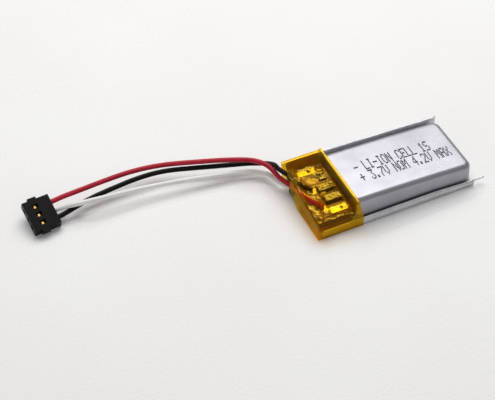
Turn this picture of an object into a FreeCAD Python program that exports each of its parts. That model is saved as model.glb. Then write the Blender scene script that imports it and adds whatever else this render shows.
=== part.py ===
"""Single-cell lithium-polymer battery pack: pouch cell, protection board under an amber wrap,
and three leads that end in a small low-profile plug.

Millimetres, +Z up.  The origin is under the middle of the pack (leads and plug apart), X runs
along the pack with the board and leads at -X, and Y runs across it.
"""
import FreeCAD, Part
import math
import os
import re

import Sketcher

V = FreeCAD.Vector

SIZES = {
    # pouch
    "laminate": 0.12, "cup_left": -7.9, "cup_length": 19.9, "cup_width": 11.0, "cup_middle": -0.25,
    "cup_height": 4.58, "cup_fall": 0.9, "cup_corner": 1.35, "cup_shoulder": 0.75,
    "seal_gap": 0.2, "near_seal_height": 1.33, "near_seal_fall": 0.35,
    "far_seal_height": 4.5, "far_seal_fall": 1.1, "far_seal_lean": 0.5, "ear_length": 1.75,
    "ear_height": 0.55, "terrace_margin": 0.35,
    # cell inside
    "electrode": 0.18, "separator": 0.05, "layer_gap": 0.02, "roll_turns": 2.0, "roll_core": 0.25,
    "roll_width": 9.6, "roll_clearance": 0.6, "roll_tape": 0.06,
    "tab_width": 2.0, "tab_thick": 0.1, "tab_spread": 5.4, "tab_reach": 2.2,
    # board bay
    "film": 0.1, "lead_space": 1.05, "pad_height": 1.85, "board_thick": 0.6, "board_width": 4.5,
    "board_length": 9.8, "board_gap": 0.35, "board_middle": 0.1, "chip_height": 0.7, "chip_width": 1.3,
    "chip_length": 2.5, "chip_inboard": 0.1, "chip_spacing": 2.23, "chip_corner": 0.12,
    "passive_length": 1.0, "passive_width": 0.5, "hole_inboard": 0.9, "hole_along": 0.8,
    "plate_thick": 0.15, "plate_length": 2.7, "plate_width": 1.1, "plate_inboard": 3.75, "plate_margin": 0.1,
    "plate_hole": 0.32,
    "tab_sealant": 0.4, "pad_margin": 0.3,
    "bay_top": 3.95, "wrap_overlap": 0.7, "far_corner_height": 4.5, "near_corner_height": 2.95,
    "flap_length": 9.3, "test_hole": 0.35,
    # leads and plug
    "lead": 0.75, "plug_width": 4.9, "plug_depth": 4.1, "plug_height": 1.4, "plug_pitch": 1.35,
    "plug_tilt": 20.0, "plug_yaw": 4.4, "lead_level": 0.8, "lead_bore": 0.9, "bore_depth": 1.0,
    "socket": 0.7, "contact_width": 0.55, "window_length": 0.9, "lug_length": 1.3, "lug_reach": 0.35,
}

doc = FreeCAD.newDocument("lipo_battery_pack")
sheet = doc.addObject("Spreadsheet::Sheet", "sizes")
for row, (alias, number) in enumerate(SIZES.items(), start=1):
    sheet.set(f"A{row}", alias)
    sheet.set(f"B{row}", str(number))
    sheet.setAlias(f"B{row}", alias)
doc.recompute()

nodes = []


def size(alias):
    """Return a driving dimension from the sheet."""
    return float(sheet.get(alias))


def bind(thing, **formulas):
    """Bind properties to sheet formulas: a_b in the keyword stands for the path a.b."""
    for path, formula in formulas.items():
        text = re.sub(r"[a-z_]+", lambda m: "sizes." + m[0] if m[0] in SIZES else m[0], formula)
        thing.setExpression(path.replace("_", "."), text)


def place(thing, x, y, z):
    """Bind a placement's base to three sheet formulas."""
    bind(thing, Placement_Base_x=x, Placement_Base_y=y, Placement_Base_z=z)
    return thing


def keep(thing, label):
    """Give a sub-part its label and list it for export."""
    thing.Label = label
    nodes.append(thing)
    return thing


def block(name, corner, sides):
    """Make a box from its low corner and its three sides, all sheet formulas."""
    box = doc.addObject("Part::Box", name)
    bind(box, Length=sides[0], Width=sides[1], Height=sides[2])
    return place(box, *corner)


def join(name, pieces):
    """Fuse pieces into one object."""
    fused = doc.addObject("Part::MultiFuse", name)
    fused.Shapes = pieces
    return fused


def cut(name, base, tool):
    """Cut a tool out of a base."""
    trimmed = doc.addObject("Part::Cut", name)
    trimmed.Base = base
    trimmed.Tool = tool
    return trimmed


def solid(name, shape, base_point=V(0, 0, 0)):
    """Add a shape made from the sheet's values, as a Part::Feature moved to a point."""
    thing = doc.addObject("Part::Feature", name)
    thing.Shape = shape
    thing.Placement = FreeCAD.Placement(base_point, FreeCAD.Rotation())
    return thing


def rounded(name, base, radius, chosen):
    """Fillet the edges of base that the test chosen picks."""
    doc.recompute()
    fillet = doc.addObject("Part::Fillet", name)
    fillet.Base = base
    fillet.Edges = [(i, radius, radius) for i, edge in enumerate(base.Shape.Edges, start=1) if chosen(edge)]
    return fillet


def upright(edge):
    """Tell whether an edge is a vertical line."""
    return edge.Curve.TypeId == "Part::GeomLine" and abs(edge.tangentAt(edge.FirstParameter).z) > 0.99


def rectangle_body(name, length, width, height, corner):
    """Make a PartDesign body: a rectangle on its XY plane, padded up, placed at a corner."""
    body = doc.addObject("PartDesign::Body", name)
    ground = next(f for f in body.Origin.OriginFeatures if f.Role == "XY_Plane")
    sketch = body.newObject("Sketcher::SketchObject", name + "_outline")
    sketch.AttachmentSupport = [(ground, "")]
    sketch.MapMode = "FlatFace"
    corners = [V(0, 0, 0), V(2, 0, 0), V(2, 1, 0), V(0, 1, 0)]
    for first, second in zip(corners, corners[1:] + corners[:1]):
        sketch.addGeometry(Part.LineSegment(first, second), False)
    for side in range(4):
        sketch.addConstraint(Sketcher.Constraint("Coincident", side, 2, (side + 1) % 4, 1))
    for side in (0, 2):
        sketch.addConstraint(Sketcher.Constraint("Horizontal", side))
        sketch.addConstraint(Sketcher.Constraint("Vertical", side + 1))
    sketch.addConstraint(Sketcher.Constraint("Coincident", 0, 1, -1, 1))
    along = sketch.addConstraint(Sketcher.Constraint("DistanceX", 0, 1, 0, 2, 2.0))
    across = sketch.addConstraint(Sketcher.Constraint("DistanceY", 1, 1, 1, 2, 1.0))
    bind(sketch, **{f"Constraints[{along}]": length, f"Constraints[{across}]": width})
    pad = body.newObject("PartDesign::Pad", name + "_pad")
    pad.Profile = sketch
    bind(pad, Length=height)
    return place(body, *corner)


# ---- places that several pieces share ------------------------------------------------------
base = "film"                                     # the pouch lies on the wrap's film
near_wall = "cup_middle - cup_width / 2"
far_wall = "cup_middle + cup_width / 2"
terrace_top = "film + 2 * laminate"
board_level = f"{terrace_top} + pad_height"
chip_level = f"{board_level} + board_thick"
board_right = "cup_left - board_gap"
board_left = f"{board_right} - board_width"
board_near = "board_middle - board_length / 2"

cup_left = size("cup_left")
cup_right = cup_left + size("cup_length")
wall_near = size("cup_middle") - size("cup_width") / 2
wall_far = size("cup_middle") + size("cup_width") / 2
foil = size("laminate")
floor_of_pouch = size("film")
terrace_left = cup_left - size("board_gap") - size("board_width") - size("terrace_margin")
wrap_left = cup_left - size("board_gap") - size("board_width") - size("lead_space")


# ---- pouch ----------------------------------------------------------------------------------
def cup_block(name, inset):
    """Make the cup's solid, whose top falls towards the folded end, inset by a formula."""
    wedge = doc.addObject("Part::Wedge", name + "_wedge")
    wedge.Placement.Rotation = FreeCAD.Rotation(V(0, 0, 1), -90)
    bind(wedge, Xmin="0", Xmax=f"cup_width - 2 * {inset}", X2min="0", X2max=f"cup_width - 2 * {inset}",
         Ymin="0", Ymax=f"cup_length - 2 * {inset}", Zmin="0", Z2min="0",
         Zmax=f"cup_height - {inset}", Z2max=f"cup_height - cup_fall - {inset}")
    place(wedge, f"cup_left + {inset}", f"{far_wall} - {inset}", f"{base} + laminate")
    depth = foil if inset == "laminate" else 0.0
    walls = rounded(name + "_walls", wedge, size("cup_corner") - depth, upright)
    level = floor_of_pouch + size("cup_height") - size("cup_fall") - foil
    return rounded(name, walls, size("cup_shoulder") - depth, lambda e: e.BoundBox.ZMin > level)


def strip(outline, start, end):
    """Return a solid of one section, given as (y, z) points, from x = start to x = end."""
    points = [V(start, y, z) for y, z in outline]
    return Part.Face(Part.makePolygon(points + points[:1])).extrude(V(end - start, 0, 0))


def seal_trim(height, fall, side):
    """Return a wedge over a folded seal, which makes its top fall towards the folded end."""
    left, right = terrace_left - 1, cup_right + size("ear_length") + 1
    drop = fall / (cup_right - terrace_left)
    top = floor_of_pouch + height
    outline = [V(left, side - 2, top + drop), V(right, side - 2, top - drop * (right - terrace_left)),
               V(right, side - 2, top + 9), V(left, side - 2, top + 9)]
    return Part.Face(Part.makePolygon(outline + outline[:1])).extrude(V(0, 4, 0))


def folded_seals(ply):
    """Return one ply's two folded-up side seals: ply 0 is the cup's film, ply 1 the cover's."""
    low = floor_of_pouch + (foil if ply == 0 else 0.0)
    near_in = wall_near - size("seal_gap") - ply * foil
    far_in = wall_far + size("seal_gap") + ply * foil
    near_top = floor_of_pouch + size("near_seal_height")
    far_top = floor_of_pouch + size("far_seal_height")
    lean = size("far_seal_lean")
    near = [(wall_near + 1, low), (wall_near + 1, low + foil), (near_in, low + foil), (near_in, near_top),
            (near_in - foil, near_top), (near_in - foil, low)]
    far = [(wall_far - 1, low), (far_in + foil, low), (far_in + foil + lean, far_top), (far_in + lean, far_top),
           (far_in, low + foil), (wall_far - 1, low + foil)]
    near_seal = strip(near, terrace_left, cup_right + size("ear_length"))
    far_seal = strip(far, terrace_left, cup_right)
    ear_foot = near_top - size("near_seal_fall") - size("ear_height")
    notch = Part.makeBox(9, 4, ear_foot, V(cup_right, wall_near - 3, 0))
    near_seal = near_seal.cut(notch).cut(Part.makeBox(9, 4, 9, V(cup_right, wall_near - size("seal_gap"), 0)))
    near_seal = near_seal.cut(seal_trim(size("near_seal_height"), size("near_seal_fall"), wall_near))
    far_seal = far_seal.cut(seal_trim(size("far_seal_height"), size("far_seal_fall"), wall_far))
    return near_seal, far_seal


cup_outer = cup_block("cup_outer", "0")
cup_inner = cup_block("cup_inner", "laminate")
near_ply, far_ply = folded_seals(0)
terrace = Part.makeBox(cup_left - terrace_left + 1, wall_far - wall_near, foil,
                       V(terrace_left, wall_near, floor_of_pouch + foil))
seal_film = solid("seal_film", near_ply.fuse([far_ply, terrace]))
pouch_cup = keep(cut("pouch_cup", join("cup_and_seals", [cup_outer, seal_film]), cup_inner), "pouch_cup")

near_ply, far_ply = folded_seals(1)
lower_film = Part.makeBox(cup_right - terrace_left, wall_far - wall_near, foil,
                          V(terrace_left, wall_near, floor_of_pouch))
keep(solid("pouch_cover", near_ply.fuse([far_ply, lower_film]).removeSplitter()), "pouch_cover")


# ---- wound cell -----------------------------------------------------------------------------
def track(radius, step, turns, half):
    """Return edges of a flattened spiral: half circles about two centres, joined by flats."""
    edges = []
    reach = radius
    for turn in range(int(round(2 * turns))):
        side = 1 if turn % 2 == 0 else -1
        lift = 0.0 if turn % 2 == 0 else -step / 2
        middle = V(0, side * half, lift)
        start = V(0, side * half, lift - side * reach)
        end = V(0, side * half, lift + side * reach)
        edges.append(Part.Arc(start, middle + V(0, side * reach, 0), end).toShape())
        nearer = V(0, -side * half, end.z)
        edges.append(Part.LineSegment(end, nearer).toShape())
        reach += step / 2
    return edges


def winding(inner, thick, step, length):
    """Return one flattened spiral layer, from its inner radius, extruded along X."""
    half = (size("roll_width") - 2 * (size("roll_core") + step * size("roll_turns"))) / 2
    inside = Part.Wire(track(inner, step, size("roll_turns"), half))
    outside = Part.Wire(track(inner + thick, step, size("roll_turns"), half))
    ends = []
    for pick in (0, -1):
        a = inside.OrderedVertexes[pick].Point
        b = outside.OrderedVertexes[pick].Point
        ends.append(Part.LineSegment(a, b).toShape())
    outline = Part.Wire(Part.__sortEdges__(inside.Edges + outside.Edges + ends))
    return Part.Face(outline).extrude(V(length, 0, 0))


gap = size("layer_gap")
layers = [("separator_inner", "separator"), ("anode_foil", "electrode"),
          ("separator_outer", "separator"), ("cathode_foil", "electrode")]
roll_step = sum(size(kind) + gap for _, kind in layers)
roll_length = size("cup_length") - 2 * foil - 2 * size("roll_clearance")
roll_left = cup_left + foil + size("roll_clearance")
roll_radius = size("roll_core") + roll_step * size("roll_turns")
roll_height = 2 * roll_radius + roll_step
roll_foot = floor_of_pouch + foil + gap
roll_middle = V(roll_left, size("cup_middle"), roll_foot + roll_radius + roll_step)
reach = size("roll_core")
for label, kind in layers:
    layer = winding(reach, size(kind), roll_step, roll_length)
    keep(solid(label + "_layer", layer, roll_middle), label)
    reach += size(kind) + gap

band = Part.makeBox(size("roll_tape"), size("roll_width") / 2, roll_height)
band_corner = V(roll_left + roll_length + gap, size("cup_middle") - size("roll_width") / 4, roll_foot)
keep(solid("roll_band", band, band_corner), "winding_tape")

for label, side in (("positive_tab", 1), ("negative_tab", -1)):
    middle = f"cup_middle + {side} * tab_spread / 2"
    film_under = block(label + "_film_low",
                       ("cup_left - tab_reach", f"{middle} - tab_width / 2 - tab_sealant", terrace_top),
                       ("tab_reach * 0.3", "tab_width + 2 * tab_sealant", "laminate / 2"))
    tab = block(label + "_strip",
                ("cup_left - tab_reach", f"{middle} - tab_width / 2", f"{terrace_top} + laminate / 2"),
                ("tab_reach * 0.9", "tab_width", "tab_thick"))
    keep(film_under, label + "_sealant")
    keep(tab, label)


# ---- protection board -----------------------------------------------------------------------
pad_foot = f"{terrace_top} + laminate / 2 + tab_thick"
keep(rectangle_body("insulating_pad", "board_width", "board_length - 2 * pad_margin",
                    f"{board_level} - ({pad_foot})", (board_left, f"{board_near} + pad_margin", pad_foot)),
     "insulating_pad")
board = rectangle_body("board_blank", "board_width", "board_length", "board_thick",
                       (board_left, board_near, board_level))
hole = doc.addObject("Part::Cylinder", "test_hole_drill")
bind(hole, Radius="test_hole", Height="board_thick * 3")
place(hole, f"{board_right} - hole_inboard", f"{board_near} + hole_along", f"{board_level} - board_thick")
keep(cut("drilled_board", board, hole), "circuit_board")

chips = (("protection_ic", "board_middle - 0.67"), ("power_switch_ic", "board_middle - 0.67 - chip_spacing"))
for label, near_edge in chips:
    body = block(label + "_body", (f"{board_right} - chip_inboard - chip_length", near_edge, chip_level),
                 ("chip_length", "chip_width", "chip_height"))
    doc.recompute()
    keep(rounded(label, body, size("chip_corner"), upright), label)
passives = (("sense_resistor", "0.4", "2.6"), ("series_resistor", "0.4", "1.5"),
            ("filter_capacitor", "1.8", "-1.35"))
for label, inboard, along in passives:
    keep(block(label, (f"{board_right} - {inboard} - passive_length", f"board_middle + {along}", chip_level),
               ("passive_length", "passive_width", "passive_width")), label)
plates = (("cell_plate_positive", "plate_inboard", f"{board_near} + board_length - plate_margin - plate_width"),
          ("cell_plate_negative", "(plate_inboard - 1.03)", f"{board_near} + plate_margin"))
for label, inboard, y in plates:
    plate = block(label + "_strip", (f"{board_right} - {inboard}", y, chip_level),
                  ("plate_length", "plate_width", "plate_thick"))
    hole = doc.addObject("Part::Cylinder", label + "_punch")
    bind(hole, Radius="plate_hole", Height="plate_thick * 3")
    place(hole, f"{board_right} - {inboard} + plate_length * 0.66", f"{y} + plate_width / 2",
          f"{chip_level} - plate_thick")
    keep(cut(label, plate, hole), label)


# ---- leads ----------------------------------------------------------------------------------
def lead(route):
    """Return a lead's tube: straight runs joined by the largest arcs that they allow."""
    points = [V(*point) for point in route]
    edges = []
    radii = []
    here = points[0]
    for before, corner, after in zip(points, points[1:], points[2:]):
        arriving = (corner - before).normalize()
        leaving = (after - corner).normalize()
        half_turn = arriving.getAngle(leaving) / 2
        trim = 0.45 * min(corner.distanceToPoint(before), corner.distanceToPoint(after))
        radii.append(trim / math.tan(half_turn))
        start = corner - arriving * trim
        end = corner + leaving * trim
        inward = (leaving - arriving).normalize()
        sagitta = radii[-1] / math.cos(half_turn) - radii[-1]
        edges.append(Part.LineSegment(here, start).toShape())
        edges.append(Part.Arc(start, corner + inward * sagitta, end).toShape())
        here = end
    edges.append(Part.LineSegment(here, points[-1]).toShape())
    path = Part.Wire(edges)
    section = Part.Wire(Part.makeCircle(size("lead") / 2, points[0], points[1] - points[0]))
    tube = path.makePipeShell([section], True, True)
    expected = path.Length * math.pi * (size("lead") / 2) ** 2
    print(f"length {path.Length:.1f}, volume ratio {tube.Volume / expected:.3f},",
          "radii", " ".join(f"{radius:.1f}" for radius in radii))
    return tube


RED_ROUTE = [
    (-47.27, 15.52, 2.07), (-46.27, 15.60, 2.07), (-44.40, 15.86, 2.10), (-41.70, 15.90, 2.20),
    (-37.90, 16.08, 2.30), (-33.40, 16.26, 2.22), (-29.00, 15.62, 2.20), (-24.20, 13.78, 2.40),
    (-20.20, 12.12, 2.60), (-17.30, 10.60, 2.80), (-15.95, 9.55, 2.84), (-14.95, 8.20, 2.72),
    (-14.55, 6.80, 2.42), (-14.30, 5.45, 2.15), (-13.50, 3.85, 1.99),
]
BLACK_ROUTE = [
    (-47.08, 13.06, 1.14), (-46.09, 13.14, 1.14), (-43.90, 13.72, 1.22), (-40.85, 14.44, 1.40),
    (-37.30, 14.70, 1.62), (-32.90, 15.02, 1.74), (-28.80, 14.84, 1.62), (-23.90, 13.40, 1.42),
    (-19.55, 12.00, 1.36), (-16.70, 11.02, 1.40), (-15.08, 10.06, 1.56), (-14.24, 8.98, 2.08),
    (-14.06, 7.72, 2.95), (-14.26, 6.15, 3.45), (-13.48, 4.40, 3.54),
]
WHITE_ROUTE = [
    (-47.17, 14.30, 1.61), (-46.18, 14.37, 1.62), (-44.10, 13.82, 2.00), (-41.30, 13.04, 2.38),
    (-37.50, 12.86, 2.14), (-33.50, 12.70, 1.84), (-27.70, 11.95, 1.56), (-22.00, 10.84, 1.28),
    (-18.20, 10.04, 1.08), (-15.90, 9.20, 1.00), (-14.75, 7.90, 0.96), (-14.34, 6.00, 1.00),
    (-13.48, 4.35, 1.18),
]
RED_TAIL = [(-13.50, 3.85, 1.99), (-13.30, 3.45, 1.95), (-13.26, 2.50, 2.25), (-13.24, 1.30, 2.80),
            (-13.12, -0.30, 3.27), (-12.45, -1.90, 3.28), (-11.60, -3.20, 3.28)]
BLACK_TAIL = [(-13.48, 4.40, 3.54), (-13.28, 3.95, 3.563), (-13.15, 3.10, 3.50), (-12.85, 2.20, 3.42),
              (-12.30, 1.30, 3.30), (-11.50, 0.45, 3.28)]
WHITE_TAIL = [(-13.48, 4.35, 1.18), (-13.38, 4.158, 1.201), (-13.36, 3.70, 1.20)]
LAID_BOARD_LEFT = -12.75                          # where these stood when the routes were laid
LAID_FAR_EDGE = 5.75
far_edge = wall_far + size("far_seal_lean")
lead_shift = V(terrace_left + size("terrace_margin") - LAID_BOARD_LEFT, far_edge - LAID_FAR_EDGE, 0)


def shifted(route):
    """Return a route moved along with the board's left end and the pack's far edge."""
    return [tuple(V(*point) + lead_shift) for point in route]


leads = [(colour, shifted(route), shifted(tail)) for colour, route, tail in
         (("red", RED_ROUTE, RED_TAIL), ("black", BLACK_ROUTE, BLACK_TAIL), ("white", WHITE_ROUTE, WHITE_TAIL))]
for colour, route, tail in leads:
    keep(solid(colour + "_wire", lead(route)), colour + "_wire")
    keep(solid(colour + "_wire_tail", lead(tail)), colour + "_wire_tail")

for colour, _, tail in leads[:2]:
    end_x, end_y, end_z = tail[-1]
    keep(block(colour + "_solder", (f"{end_x} - lead * 0.8", f"{end_y} - lead * 0.8", chip_level),
               ("lead * 1.6", "lead * 1.6", f"{end_z} - lead / 2 - 0.02 - ({chip_level})")),
         colour + "_solder_joint")
end_x, end_y, end_z = leads[2][2][-1]
keep(block("thermistor_bead", (f"{end_x} - lead / 2", f"{end_y} - lead * 1.5", f"{end_z} - lead / 2"),
           ("lead", "lead * 1.4", "lead")), "thermistor")


# ---- plug -----------------------------------------------------------------------------------
plug_turn = FreeCAD.Rotation(V(0, 0, 1), size("plug_yaw")).multiply(
    FreeCAD.Rotation(V(1, 0, 0), size("plug_tilt")))
plug_foot = size("plug_width") / 2 * math.sin(math.radians(size("plug_tilt"))) + 0.02
plug_place = FreeCAD.Placement(V(-46.41, 14.66, plug_foot) + lead_shift, plug_turn)


def in_plug(name, base_piece, tools):
    """Cut tools out of a piece drawn in the plug's own frame, then stand it at the plug's place."""
    shaped = cut(name, base_piece, join(name + "_tools", tools))
    shaped.Placement = plug_place
    return shaped


body_box = block("plug_body", ("-plug_depth", "-plug_width / 2", "0"), ("plug_depth", "plug_width", "plug_height"))
lugs = [block(f"plug_lug_{end}", ("-plug_depth + 1.0", y, "0.35"), ("lug_length", "lug_reach", "plug_height - 0.35"))
        for end, y in (("near", "-plug_width / 2 - lug_reach"), ("far", "plug_width / 2"))]
cavities = []
for way in (-1, 0, 1):
    y = f"{way} * plug_pitch"
    tag = {-1: "near", 0: "middle", 1: "far"}[way]
    bore = doc.addObject("Part::Cylinder", f"lead_bore_{tag}")
    bore.Placement.Rotation = FreeCAD.Rotation(V(0, 1, 0), 90)
    bind(bore, Radius="lead_bore / 2", Height="bore_depth + 1")
    cavities.append(place(bore, "-bore_depth", y, "lead_level"))
    cavities.append(block(f"socket_{tag}", ("-plug_depth - 1", f"{y} - socket / 2", "lead_level - socket / 2"),
                          ("plug_depth + 1 - bore_depth", "socket", "socket")))
    cavities.append(block(f"window_{tag}", ("-2.9", f"{y} - socket / 2", "lead_level"),
                          ("window_length", "socket", "plug_height")))
    floor_plate = block(f"contact_floor_{tag}", ("-plug_depth + 0.5", f"{y} - contact_width / 2",
                                                 "lead_level - socket / 2"),
                        ("plug_depth - 0.5 - bore_depth", "contact_width", "0.1"))
    tongue = block(f"contact_tongue_{tag}", ("-2.6", f"{y} - contact_width / 2", "lead_level - socket / 2"),
                   ("0.3", "contact_width", "socket * 0.8"))
    contact = join(f"contact_{tag}", [floor_plate, tongue])
    contact.Placement = plug_place
    keep(contact, f"plug_contact_{tag}")
keep(in_plug("plug_shell", join("plug_outside", [body_box] + lugs), cavities), "plug_housing")


# ---- amber wrap -----------------------------------------------------------------------------
def wrap_section(x, shoulder, near_level, far_level, corner_level, inset):
    """Return the wrap's closed section at x, its outline moved in by inset.

    shoulder is 1 where the film runs up the cup's wall and 0 where it lies on the board.
    """
    near_out = wall_near - size("seal_gap") - 2 * foil - size("film") + inset
    far_out = wall_far + size("seal_gap") + 2 * foil + size("film") - inset
    lean = size("far_seal_lean")
    seal_top = floor_of_pouch + size("near_seal_height") + size("film") - inset
    edge = wall_near - size("film") * shoulder + inset * shoulder
    bevel = 0.45 * size("cup_shoulder")
    outline = [(near_out, inset), (near_out, seal_top), (edge, near_level - bevel - inset),
               (wall_near + bevel, near_level - inset), (wall_far - bevel, far_level - inset),
               (wall_far + size("film") - inset, far_level - bevel * shoulder - inset),
               (far_out + lean - 3 * foil, corner_level - inset), (far_out + lean, corner_level - inset),
               (far_out, inset)]
    return Part.makePolygon([V(x, y, z) for y, z in outline + outline[:1]])


def wrap_tube(inset):
    """Return the solid inside the wrap's outline, moved in by inset."""
    crown = floor_of_pouch + foil + size("cup_height") + size("film")
    right = cup_left + size("wrap_overlap")
    corner = floor_of_pouch + size("far_seal_height") + size("film")
    spots = [(right, 1, crown, crown, corner), (cup_left - size("film"), 1, crown, crown, corner),
             (cup_left - 0.8, 0, size("bay_top") - 0.1, size("bay_top") + 0.1, corner),
             (wrap_left + 1.0, 0, size("near_corner_height") + 0.75, size("bay_top") + 0.1, corner),
             (wrap_left, 0, size("near_corner_height"), size("far_corner_height") - 0.1, size("far_corner_height"))]
    sections = [wrap_section(*spot, inset) for spot in spots]
    return Part.makeLoft(sections, True, True)


wrap = wrap_tube(0.0).cut(wrap_tube(size("film")))
keep(solid("film_wrap", wrap), "polyimide_wrap")

flap_near = wall_near - size("seal_gap") - 2 * foil - size("film")
flap = strip([(flap_near, 0.0), (flap_near, 1.3), (flap_near + 0.6, size("near_corner_height") - 0.2),
              (flap_near + size("flap_length"), size("far_corner_height") - 0.85), (flap_near + size("flap_length"), 0.0)],
             wrap_left - size("film"), wrap_left)
keep(solid("end_flap", flap), "polyimide_end_flap")

# ---- check and write ------------------------------------------------------------------------
doc.recompute()
failed = [thing.Name for thing in doc.Objects if "Invalid" in thing.State or "Error" in thing.State]
failed += [thing.Label for thing in nodes if thing.Shape.isNull() or not thing.Shape.isValid()]
if failed:
    raise RuntimeError("failed objects: " + ", ".join(failed))
os.makedirs("parts", exist_ok=True)
for thing in nodes:
    thing.Shape.exportStep(f"parts/{thing.Label}.step")
print(len(nodes), "sub-parts written")
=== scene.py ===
"""A single-cell lithium-polymer battery pack on a pale table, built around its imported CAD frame.

Lengths in this script are millimetres until a mesh, light or camera is made: MM turns them into metres.
"""

import logging
import math
from dataclasses import dataclass
from enum import Enum
from typing import Iterable, Sequence

import bpy
from mathutils import Matrix, Vector, noise
from mathutils.bvhtree import BVHTree

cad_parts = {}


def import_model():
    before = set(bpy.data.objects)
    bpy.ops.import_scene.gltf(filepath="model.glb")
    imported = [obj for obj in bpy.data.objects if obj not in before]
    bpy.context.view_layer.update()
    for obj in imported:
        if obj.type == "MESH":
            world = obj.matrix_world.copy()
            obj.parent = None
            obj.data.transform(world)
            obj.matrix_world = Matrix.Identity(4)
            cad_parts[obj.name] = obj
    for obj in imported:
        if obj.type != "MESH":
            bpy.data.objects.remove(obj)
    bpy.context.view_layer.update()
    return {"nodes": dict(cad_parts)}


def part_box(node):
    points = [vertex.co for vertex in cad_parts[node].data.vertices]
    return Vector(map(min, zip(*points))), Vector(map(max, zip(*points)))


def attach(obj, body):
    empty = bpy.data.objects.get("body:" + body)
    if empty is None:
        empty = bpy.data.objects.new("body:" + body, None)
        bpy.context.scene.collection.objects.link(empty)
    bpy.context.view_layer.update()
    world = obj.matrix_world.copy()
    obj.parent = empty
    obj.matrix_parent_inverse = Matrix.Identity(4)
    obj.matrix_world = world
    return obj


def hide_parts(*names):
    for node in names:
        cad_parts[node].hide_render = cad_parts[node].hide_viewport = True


LOG = logging.getLogger("battery_pack")
MM = 0.001
Point = tuple[float, float, float]


# ---- colours and node trees -----------------------------------------------------------------
def linear(code: str) -> tuple[float, float, float, float]:
    """Turn an sRGB hex code into linear colour.

    Args:
        code: six hex digits.

    Returns:
        Red, green, blue and alpha, linear.
    """
    parts = [int(code[i:i + 2], 16) / 255 for i in (0, 2, 4)]
    return (*(c / 12.92 if c <= 0.04045 else ((c + 0.055) / 1.055) ** 2.4 for c in parts), 1.0)


def add_node(tree: bpy.types.NodeTree, kind: str, inputs: dict | None = None, **settings) -> bpy.types.Node:
    """Add a node, give it its settings, and fill or link its inputs.

    Args:
        tree: the tree that gets the node.
        kind: the node's type name.
        inputs: socket name or index to a value or to another node's output.
        settings: the node's own properties.

    Returns:
        The new node.
    """
    node = tree.nodes.new(kind)
    for key, value in settings.items():
        setattr(node, key, value)
    for key, value in (inputs or {}).items():
        if isinstance(value, bpy.types.NodeSocket):
            tree.links.new(value, node.inputs[key])
        else:
            node.inputs[key].default_value = value
    return node


def ramp(tree: bpy.types.NodeTree, fac: bpy.types.NodeSocket,
         stops: Sequence[tuple[float, str]]) -> bpy.types.NodeSocket:
    """Add a colour ramp over a factor.

    Args:
        tree: the tree that gets the ramp.
        fac: the socket that drives it.
        stops: position and hex colour of each stop, in order.

    Returns:
        The ramp's colour socket.
    """
    node = add_node(tree, "ShaderNodeValToRGB", {"Fac": fac})
    elements = node.color_ramp.elements
    for element, (position, code) in zip(elements, (stops[0], stops[-1])):
        element.position = position
        element.color = linear(code)
    for position, code in stops[1:-1]:
        elements.new(position).color = linear(code)
    return node.outputs["Color"]


def millimetre_noise(tree: bpy.types.NodeTree, size_mm: float, stretch: Point = (1, 1, 1),
                     detail: float = 4.0) -> bpy.types.NodeSocket:
    """Add fractal noise in object coordinates.

    Args:
        tree: the tree that gets the noise.
        size_mm: rough size of one feature in millimetres.
        stretch: how much longer a feature is along each axis.
        detail: number of octaves.

    Returns:
        The noise's factor socket.
    """
    where = add_node(tree, "ShaderNodeTexCoord").outputs["Object"]
    scale = tuple(1 / (size_mm * MM * s) for s in stretch)
    mapped = add_node(tree, "ShaderNodeMapping", {"Vector": where, "Scale": scale})
    texture = add_node(tree, "ShaderNodeTexNoise", {"Vector": mapped.outputs["Vector"], "Scale": 1.0,
                                                    "Detail": detail, "Roughness": 0.6})
    return texture.outputs["Fac"]


def new_material(name: str) -> tuple[bpy.types.Material, bpy.types.NodeTree, bpy.types.Node]:
    """Make an empty node material.

    Args:
        name: the finish's name.

    Returns:
        The material, its tree and its output node.
    """
    material = bpy.data.materials.new(name)
    material.use_nodes = True
    material.node_tree.nodes.clear()
    return material, material.node_tree, add_node(material.node_tree, "ShaderNodeOutputMaterial")


@dataclass(frozen=True)
class Finish:
    """An opaque finish: two close tones mottled together over a fine bump.

    Attributes:
        name: what the finish is.
        tones: darker and lighter hex colours.
        roughness: lowest and highest roughness.
        grain_mm: size of the fine grain.
        bump: strength of the grain's bump.
        metallic: 1 for a bare metal.
        mottle_mm: size of the slow change between the tones.
        stretch: how the grain is drawn out along each axis.
        coat: weight of a clear coat.
        specular: level of the plain reflection.
    """

    name: str
    tones: tuple[str, str]
    roughness: tuple[float, float] = (0.4, 0.5)
    grain_mm: float = 0.08
    bump: float = 0.1
    metallic: float = 0.0
    mottle_mm: float = 1.2
    stretch: Point = (1, 1, 1)
    coat: float = 0.0
    specular: float = 0.5

    def build(self) -> bpy.types.Material:
        """Make the material.

        Returns:
            The node material.
        """
        material, tree, output = new_material(self.name)
        grain = millimetre_noise(tree, self.grain_mm, self.stretch)
        mottle = millimetre_noise(tree, self.mottle_mm, detail=2.0)
        colour = ramp(tree, mottle, [(0.3, self.tones[0]), (0.7, self.tones[1])])
        smoothest, dullest = self.roughness
        rough = add_node(tree, "ShaderNodeMapRange", {
            "Value": grain, "From Min": 0.3, "From Max": 0.7, "To Min": smoothest, "To Max": dullest})
        bump = add_node(tree, "ShaderNodeBump", {"Height": grain, "Strength": self.bump,
                                                 "Distance": self.grain_mm * MM})
        surface = add_node(tree, "ShaderNodeBsdfPrincipled", {
            "Base Color": colour, "Roughness": rough.outputs["Result"], "Metallic": self.metallic,
            "Coat Weight": self.coat, "Coat Roughness": 0.15, "Specular IOR Level": self.specular,
            "Normal": bump.outputs["Normal"]})
        tree.links.new(surface.outputs["BSDF"], output.inputs["Surface"])
        return material


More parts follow.
